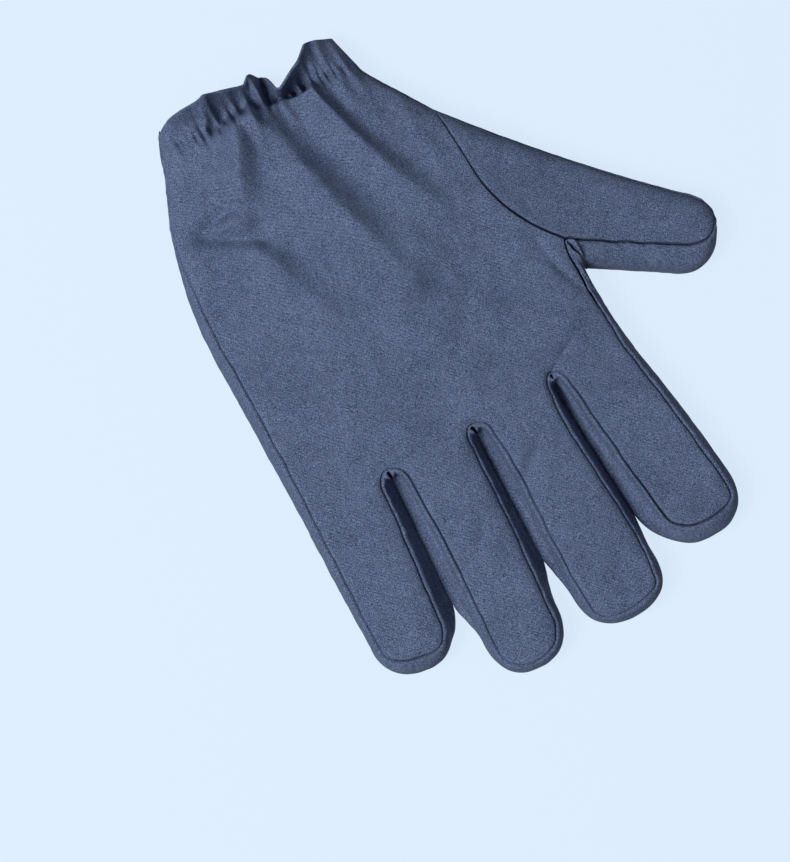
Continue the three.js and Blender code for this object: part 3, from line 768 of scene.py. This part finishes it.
def strip_surface():
    """The whole side strip as a grid: a row of points for each place of the edge, from the back seam down."""
    seam_z = back_height(seam_line)
    span = seam_line - edge_line
    reach = np.linalg.norm(span, axis=1)
    f = np.linspace(1, 0, UPPER_STEPS)[None, :] ** UPPER_CROWDING
    rounded = roll(reach[:, None] * f, TOP_ROLL, STRIP_POWER) / roll(reach[:, None], TOP_ROLL, STRIP_POWER)
    bulge, in_gap = gap_bulge()
    from_seam = reach[:, None] * (1 - f)
    sunken = rounded * (1 - GAP_DROP * fade(from_seam, *GAP_WALL))
    rounded = rounded + in_gap[:, None] * (sunken - rounded)
    upper = np.concatenate([
        edge_line[:, None, :] + span[:, None, :] * f[..., None],
        (EDGE_Z + (seam_z[:, None] - EDGE_Z) * rounded)[..., None],
    ], axis=2)
    lean = bulge[:, None]
    t = np.linspace(0, 1, UNDER_STEPS)[None, 1:]
    weights = [(1 - t) ** 3, 3 * (1 - t) ** 2 * t, 3 * (1 - t) * t**2, t**3]
    shift = lean_shift()[:, None]
    outwards = ((1 + shift) * weights[1] + (1 - shift) * weights[2]) * (LEAN_PULL[0] + LEAN_PULL[1] * lean)
    inwards = weights[3] * (PALM_SEAM_INSET - LEAN_TUCK * lean) - outwards
    z = weights[0] * EDGE_Z + weights[1] * LEAN_Z
    lower = np.concatenate([
        edge_line[:, None, :] + inwards[..., None] * edge_inward[:, None, :],
        np.broadcast_to(z[..., None], inwards.shape + (1,)),
    ], axis=2)
    dense = np.concatenate([upper, lower], axis=1)
    lengths = np.cumsum(np.linalg.norm(np.diff(dense, axis=1), axis=2), axis=1)
    lengths = np.hstack([np.zeros((len(dense), 1)), lengths])
    rim = np.array([0, *RIM_ROWS, *STRIP_RIM_ROWS])
    rest = np.linspace(0, 1, STRIP_ROWS + 1)[1:]
    grid = np.empty((len(dense), len(rim) + STRIP_ROWS, 3))
    away = np.empty(grid.shape[:2])
    for i, (row, length) in enumerate(zip(dense, lengths)):
        at = np.r_[rim, rim[-1] + (length[-1] - rim[-1]) * rest]
        away[i] = at
        for axis in range(3):
            grid[i, :, axis] = np.interp(at, length, row[:, axis])
    return grid, away


def make_strips():
    """The side strips, one for each digit. Gives back the two ends at the wrist."""
    grid, away = strip_surface()
    along = np.r_[0, np.cumsum(np.linalg.norm(np.diff(seam_line, axis=0), axis=1))][:, None]
    normal = grid_normals(grid)
    if normal[:, 0, 2].mean() < 0:
        normal = -normal
    ripple = 1 + RIDGE_RIPPLE * seam_waves(along, 0 * along)
    ridge = STRIP_RIDGE["rise"] * ripple * bump(away - STRIP_RIDGE["at"], STRIP_RIDGE["width"])
    relief = (seam_dip(away) + ridge) * seam_strength(seam_line)[:, None]
    inner = fade(away, *STRIP_WAVES_START) * fade(away, away[:, -1:], away[:, -1:] - STRIP_WAVES_END)
    waves = STRIP_WAVES["rise"] * strip_waves(along * STRIP_WAVES["scale"], away * STRIP_WAVES["scale"])
    fine_waves = STRIP_CRINKLES["rise"] * small_waves(along, away * STRIP_CRINKLES["scale"])
    relief += inner * (waves + fine_waves)
    for place in strip_breaks:
        from_break = along - along[place]
        cut = PINCH_CUT["depth"] * bump(from_break - PINCH_CUT["at"], PINCH_CUT["width"])
        ridges = PINCH_RIDGES["rise"] * bump(np.abs(from_break) - PINCH_RIDGES["at"], PINCH_RIDGES["width"])
        relief += (ridges - cut) * fade(away, *PINCH_TOP) * fade(away, *PINCH_END)
    grid = grid + normal * relief[..., None]
    # At the thumb's crotch the strip stays a wall's thickness above the table
    lifted = WALL * bump(along - along[strip_breaks[0]], THUMB_LIFT_REACH)
    grid[..., 2] = np.maximum(grid[..., 2], lifted)
    cuts = [0, *strip_breaks, len(grid) - 1]
    for name, start, end in zip(DIGITS, cuts, cuts[1:]):
        part = grid[start:end + 1]
        faces = grid_faces(*part.shape[:2])[:, ::-1]
        cloth_piece(f"{name}_strip_cloth", f"{name}_strip", part.reshape(-1, 3), faces)
    return grid[0], grid[-1]


# Frill. Each row: place on the gather line, hem in plan, height of the hem, and how far the middle bellies
# up, or hangs down where it is below 0
FRILL_BACK = (
    dict(start=-2.4, hem=(0.2, -120.4), z=5.5, belly=0.6),
    dict(start=1.0, hem=(2.0, -120.8), z=7.4, belly=0.4),
    dict(start=4.5, hem=(5.2, -121.5), z=9.6, belly=-0.6),
    dict(start=9.0, hem=(9.6, -122.1), z=13.0, belly=-2.0),
    dict(start=12.0, hem=(12.2, -119.8), z=16.0, belly=-3.0),
    dict(start=15.5, hem=(15.6, -116.4), z=19.0, belly=-4.0),
    dict(start=19.5, hem=(20.1, -113.8), z=20.0, belly=-4.5),
    dict(start=23.0, hem=(24.2, -111.3), z=20.0, belly=-3.5),
    dict(start=25.5, hem=(26.6, -110.2), z=20.0, belly=-1.5),
    dict(start=28.0, hem=(28.3, -111.3), z=19.0, belly=-0.5),
    dict(start=28.8, hem=(28.9, -115.2), z=14.0, belly=-1.0),
    dict(start=29.8, hem=(29.7, -119.0), z=6.0, belly=-2.0),
    dict(start=31.4, hem=(31.4, -120.8), z=4.0, belly=-2.0),
    dict(start=33.0, hem=(33.0, -121.8), z=9.0, belly=-1.5),
    dict(start=34.2, hem=(34.3, -122.0), z=12.0, belly=-1.5),
    dict(start=36.0, hem=(36.2, -119.9), z=13.5, belly=-2.5),
    dict(start=37.8, hem=(38.0, -118.5), z=15.0, belly=-4.2),
    dict(start=44.0, hem=(44.2, -119.2), z=18.5, belly=-5.4),
    dict(start=50.0, hem=(50.6, -120.2), z=21.5, belly=-5.4),
    dict(start=53.0, hem=(53.0, -120.3), z=22.5, belly=-4.4),
    dict(start=57.0, hem=(57.0, -120.2), z=20.5, belly=-2.4),
    dict(start=63.0, hem=(63.0, -120.1), z=19.4, belly=-2.4),
    dict(start=69.0, hem=(69.2, -119.7), z=16.6, belly=-1.8),
    dict(start=73.5, hem=(73.0, -118.7), z=11.5, belly=-0.6),
    dict(start=77.0, hem=(75.2, -117.9), z=5.0, belly=0.5),
)
# Pleats of the frill, from the elastic to the hem, in the same columns as the folds of the back
PLEATS = [dict(zip(FOLD_COLUMNS, row)) for row in (
    ((1.0, -108), (0.8, -113), (1.2, -119), (1.4, 1.8), (1.4, 1.8), (0.9, 0.8, 0.3)),
    ((6.5, -108), (6.9, -114), (6.4, -121.5), (1.8, 2.2), (1.6, 2.0), (1.3, 1.6, 0.9)),
    ((12, -108), (11.3, -115), (10.8, -122), (2.2, 2.4), (1.3, 1.4), (1.4, 1.9, 1.2)),
    ((32.6, -110), (31.8, -115), (31.0, -120), (0.9, 0.9), (0.9, 0.9), (-3.0, -3.6, -2.0)),
    ((39, -110), (39.3, -114), (39.8, -119), (2.0, 2.2), (1.4, 1.8), (1.2, 0.7, 0.2)),
    ((45, -110), (45.6, -114), (46.5, -120), (2.0, 2.6), (1.8, 2.2), (1.3, 0.8, 0.3)),
    ((50, -110), (50.4, -113), (51, -118), (1.3, 1.6), (1.2, 1.4), (1.2, 0.6, 0.1)),
    ((57.5, -110), (55.0, -116), (53.0, -122), (1.8, 2.2), (3.0, 4.0), (2.4, 2.6, 1.2)),
    ((60.5, -110), (63.2, -115), (67, -121), (2.2, 2.6), (1.2, 1.4), (1.3, 1.3, 0.5)),
    ((66, -110), (67.3, -114), (69.5, -119), (2.2, 2.6), (1.8, 2.2), (0.9, 0.8, 0.2)),
)]
FRILL_ROWS = 32
FRILL_STEPS = 2000
FRILL_PALM_COLUMNS = 120
FRILL_ENDS = 6
FRILL_WAVES = dict(rise=0.22, across=0.7, along=0.35, full_at=0.25)
PUCKER_REACH = 3.0
BELLY_AT = 0.8
PALM_HEM_SHORTER = 1.4
PALM_HEM_SHORTEST = 1.0
PALM_HEM_LIFT = 0.9
PALM_HEM_UNEVEN = 0.6
PALM_HEM_SCALE = 0.5


def make_frill(wrist_ends):
    """The cloth past the elastic, a ring that starts where the panels and the strips end."""
    left, right = wrist_ends
    back = np.column_stack([gather_line, back_height(gather_line)])
    palm = straight(right[-1], left[-1], FRILL_PALM_COLUMNS)
    ring = join_lines(back, right, palm, left[::-1])
    backness = np.concatenate([
        np.ones(len(back)), np.linspace(1, 0, len(right))[1:], np.zeros(len(palm) - 1),
        np.linspace(0, 1, len(left))[1:],
    ])
    puckered = np.zeros(len(ring))
    unpuckered = back_body(gather_line, distance_to(gather_line, outline))
    puckered[:len(back)] = back[:, 2] - unpuckered + gather_dip(back[:, 0])
    stations = [[row["start"], *row["hem"], row["z"], row["belly"]] for row in FRILL_BACK]
    table = smooth_line(stations, FRILL_STEPS)
    x = ring[:, 0].clip(table[0, 0], table[-1, 0])
    hem_x, hem_y, hem_z, belly = (np.interp(x, table[:, 0], column) for column in table.T[1:])
    inner = fade(np.minimum(x - x.min(), x.max() - x), 0, FRILL_ENDS)
    palm_y = np.minimum(hem_y + PALM_HEM_SHORTER * inner, GATHER_Y - PALM_HEM_SHORTEST)
    palm_z = PALM_HEM_LIFT * (1 + PALM_HEM_UNEVEN * pucker_waves(x * PALM_HEM_SCALE, 0 * x)) * inner
    share = fade(backness, 0, 1)
    hem = np.column_stack([hem_x, palm_y + (hem_y - palm_y) * share, palm_z + (hem_z - palm_z) * share])
    t = np.linspace(0, 1, FRILL_ROWS + 1)[:, None]
    smooth_start = ring - [0, 0, 1] * puckered[:, None]
    rows = smooth_start + (hem - smooth_start) * t[..., None]
    away = np.linalg.norm(rows[..., :2] - ring[:, :2], axis=2)
    pleats = fold_height(rows[..., :2].reshape(-1, 2), PLEATS).reshape(away.shape)
    waves = FRILL_WAVES["rise"] * small_waves(
        rows[..., 0] * FRILL_WAVES["across"], rows[..., 1] * FRILL_WAVES["along"],
    )
    folded = inner * share * (pleats + waves) * fade(t, 0, FRILL_WAVES["full_at"])
    rows[..., 2] += puckered * np.exp(-away / PUCKER_REACH) * (1 - t)
    rows[..., 2] += belly * share * np.sin(np.pi * t**BELLY_AT) + folded
    rows[..., 2] = np.maximum(rows[..., 2], 0)
    faces = grid_faces(FRILL_ROWS + 1, rows.shape[1])
    cloth_piece("cuff_frill_cloth", "cuff_frill", rows.reshape(-1, 3), faces[:, ::-1], HEM_WALL)


# Materials

def node_graph(material):
    """The node tree of a material, and a function that adds a node with its inputs and settings."""
    material.use_nodes = True
    tree = material.node_tree
    tree.nodes.clear()

    def add(kind, inputs=None, **settings):
        node = tree.nodes.new(kind)
        for key, value in settings.items():
            setattr(node, key, value)
        for key, value in (inputs or {}).items():
            if isinstance(value, bpy.types.NodeSocket):
                tree.links.new(value, node.inputs[key])
            else:
                node.inputs[key].default_value = value
        return node

    return tree, add


# Tones of the threads, and where each stands in the speckle
CLOTH_TONES = (
    dict(at=0.38, color=(0.031, 0.048, 0.100, 1)),
    dict(at=0.49, color=(0.078, 0.110, 0.206, 1)),
    dict(at=0.61, color=(0.190, 0.240, 0.375, 1)),
)
CLOTH_GREY = (0.105, 0.112, 0.180, 1)
THREADS_PER_METRE = 4700.0
FLECKS_PER_METRE = THREADS_PER_METRE * 0.45
TWILL_TURN = 28.0


def make_cloth_material():
    """A heather twill: dark and pale navy threads speckle it, on a fine diagonal grain."""
    material = bpy.data.materials.new("navy_heather_twill")
    tree, add = node_graph(material)
    place = add("ShaderNodeTexCoord").outputs["Object"]

    def noise(stretch, scale, detail=1.0, roughness=0.5):
        mapped = add("ShaderNodeMapping", {
            "Vector": place, "Scale": stretch, "Rotation": (0, 0, math.radians(TWILL_TURN)),
        }).outputs["Vector"]
        inputs = {"Vector": mapped, "Scale": scale, "Detail": detail, "Roughness": roughness}
        return add("ShaderNodeTexNoise", inputs).outputs["Fac"]

    def math_node(operation, a, b=None):
        inputs = {0: a} if b is None else {0: a, 1: b}
        return add("ShaderNodeMath", inputs, operation=operation).outputs[0]

    def weigh(*pairs):
        """A sum of weighted values, each about its middle."""
        total = None
        for value, weight in pairs:
            part = math_node("MULTIPLY", math_node("SUBTRACT", value, 0.5), weight)
            total = part if total is None else math_node("ADD", total, part)
        return math_node("ADD", total, 0.5)

    warp = noise((1.0, 0.45, 0.8), THREADS_PER_METRE)
    weft = noise((0.45, 1.0, 0.8), THREADS_PER_METRE)
    flecks = noise((1.0, 1.0, 1.0), FLECKS_PER_METRE)
    patches = noise((1.0, 0.8, 1.0), scale=260.0, detail=2.0)
    mottle = noise((1.0, 0.8, 1.0), scale=60.0, detail=3.0)
    tint = noise((1.0, 1.0, 1.0), scale=420.0, detail=2.0)
    twill = add("ShaderNodeTexWave", {
        "Vector": place, "Scale": 420.0, "Distortion": 1.5, "Detail": 1.0, "Detail Scale": 2.0,
    }, wave_type="BANDS", bands_direction="DIAGONAL").outputs["Fac"]
    speckle = weigh((warp, 0.7), (weft, 0.7), (flecks, 0.16), (patches, 0.09), (mottle, 0.10), (twill, 0.05))
    ramp = add("ShaderNodeValToRGB", {"Fac": speckle})
    stops = ramp.color_ramp.elements
    stops.new(CLOTH_TONES[1]["at"])
    for stop, tone in zip(stops, CLOTH_TONES):
        stop.position = tone["at"]
        stop.color = tone["color"]
    greyness = add("ShaderNodeMapRange", {
        "Value": tint, "From Min": 0.45, "From Max": 0.75, "To Max": 0.35,
    }).outputs[0]
    blend = add("ShaderNodeMix", data_type="RGBA")
    tree.links.new(greyness, blend.inputs[0])
    tree.links.new(ramp.outputs["Color"], blend.inputs[6])
    blend.inputs[7].default_value = CLOTH_GREY
    relief = weigh((warp, 0.5), (weft, 0.5), (twill, 0.25))
    bump_node = add("ShaderNodeBump", {"Height": relief, "Strength": 0.6, "Distance": 0.00018})
    rough = add("ShaderNodeMapRange", {"Value": flecks, "To Min": 0.74, "To Max": 0.95}).outputs[0]
    shader = add("ShaderNodeBsdfPrincipled", {
        "Base Color": blend.outputs[2], "Roughness": rough, "Normal": bump_node.outputs["Normal"],
        "Specular IOR Level": 0.25,
    })
    add("ShaderNodeOutputMaterial", {"Surface": shader.outputs["BSDF"]})
    return material


# Stage
PALE_BLUE = (0.745, 0.863, 1.0, 1)
TABLE_SIZE = 12.0
TABLE_DROP = 0.0002
TABLE_GLOW = 0.905
TABLE_ALBEDO = 0.095


def make_table():
    """A tabletop a hair below the glove, pale by its own glow, which doesn't light the glove."""
    half = TABLE_SIZE / 2
    corners = [(-half, -half, 0), (half, -half, 0), (half, half, 0), (-half, half, 0)]
    mesh = bpy.data.meshes.new("table")
    mesh.from_pydata(corners, [], [(0, 1, 2, 3)])
    table = link(bpy.data.objects.new("table", mesh))
    table.location.z = -TABLE_DROP
    material = bpy.data.materials.new("pale_table")
    tree, add = node_graph(material)
    place = add("ShaderNodeTexCoord").outputs["Object"]
    grain = add("ShaderNodeTexNoise", {"Vector": place, "Scale": 900.0, "Detail": 2.0}).outputs["Fac"]
    bump_node = add("ShaderNodeBump", {"Height": grain, "Strength": 0.02, "Distance": 0.0001})
    shader = add("ShaderNodeBsdfPrincipled", {
        "Base Color": tuple(TABLE_ALBEDO * c for c in PALE_BLUE[:3]) + (1,), "Roughness": 0.9,
        "Specular IOR Level": 0.0, "Normal": bump_node.outputs["Normal"],
        "Emission Color": PALE_BLUE, "Emission Strength": TABLE_GLOW,
    })
    add("ShaderNodeOutputMaterial", {"Surface": shader.outputs["BSDF"]})
    mesh.materials.append(material)
    table.visible_diffuse = False


# Camera: straight above the glove, turned so that the fingers point down to the right in the picture
LENS = 85.0
SENSOR = 36.0
VIEW_TURN = 28.0
VIEW_MIDDLE = (48.3, 20.3, 8.0)
VIEW_LONG_SIDE = 321.4


def make_camera():
    """The camera looks down at VIEW_MIDDLE, where the picture's long side spans VIEW_LONG_SIDE."""
    data = bpy.data.cameras.new("camera")
    data.lens = LENS
    data.sensor_width = SENSOR
    camera = link(bpy.data.objects.new("camera", data))
    cos, sin = math.cos(math.radians(VIEW_TURN)), math.sin(math.radians(VIEW_TURN))
    distance = VIEW_LONG_SIDE * LENS / SENSOR
    middle = (np.array(VIEW_MIDDLE) + PLAN_TO_FRAME + [0, 0, distance]) * MM
    camera.matrix_world = Matrix((
        (-cos, -sin, 0, middle[0]), (sin, -cos, 0, middle[1]), (0, 0, 1, middle[2]), (0, 0, 0, 1),
    ))
    bpy.context.scene.camera = camera


# Light: one soft window beyond the left of the picture, a dim one overhead and a pale room. Here lengths are
# metres, and height is an angle above the table in degrees.
LIGHTS = (
    dict(name="window", towards=(0.95, -0.10), height=55, distance=1.6, size=0.7, power=21.2),
    dict(name="overhead", towards=(-0.2, 0.3), height=78, distance=2.0, size=1.5, power=1.5),
)
ROOM_LIGHT = 0.17


def make_lights():
    for row in LIGHTS:
        data = bpy.data.lights.new(row["name"], "AREA")
        data.shape = "SQUARE"
        data.size = row["size"]
        data.energy = row["power"]
        light = link(bpy.data.objects.new(row["name"], data))
        height = math.radians(row["height"])
        flat = Vector(row["towards"]).normalized() * math.cos(height)
        back = Vector((flat.x, flat.y, math.sin(height)))
        light.location = back * row["distance"]
        light.rotation_mode = "QUATERNION"
        light.rotation_quaternion = back.to_track_quat("Z", "Y")
    world = bpy.data.worlds.new("pale_room")
    world.use_nodes = True
    background = world.node_tree.nodes["Background"]
    background.inputs["Color"].default_value = PALE_BLUE
    background.inputs["Strength"].default_value = ROOM_LIGHT
    bpy.context.scene.world = world
    settings = bpy.context.scene.view_settings
    settings.view_transform = "Standard"
    settings.look = "None"


make_camera()
navy_cloth = make_cloth_material()
make_panels()
make_frill(make_strips())
make_table()
make_lights()

bpy.context.view_layer.update()
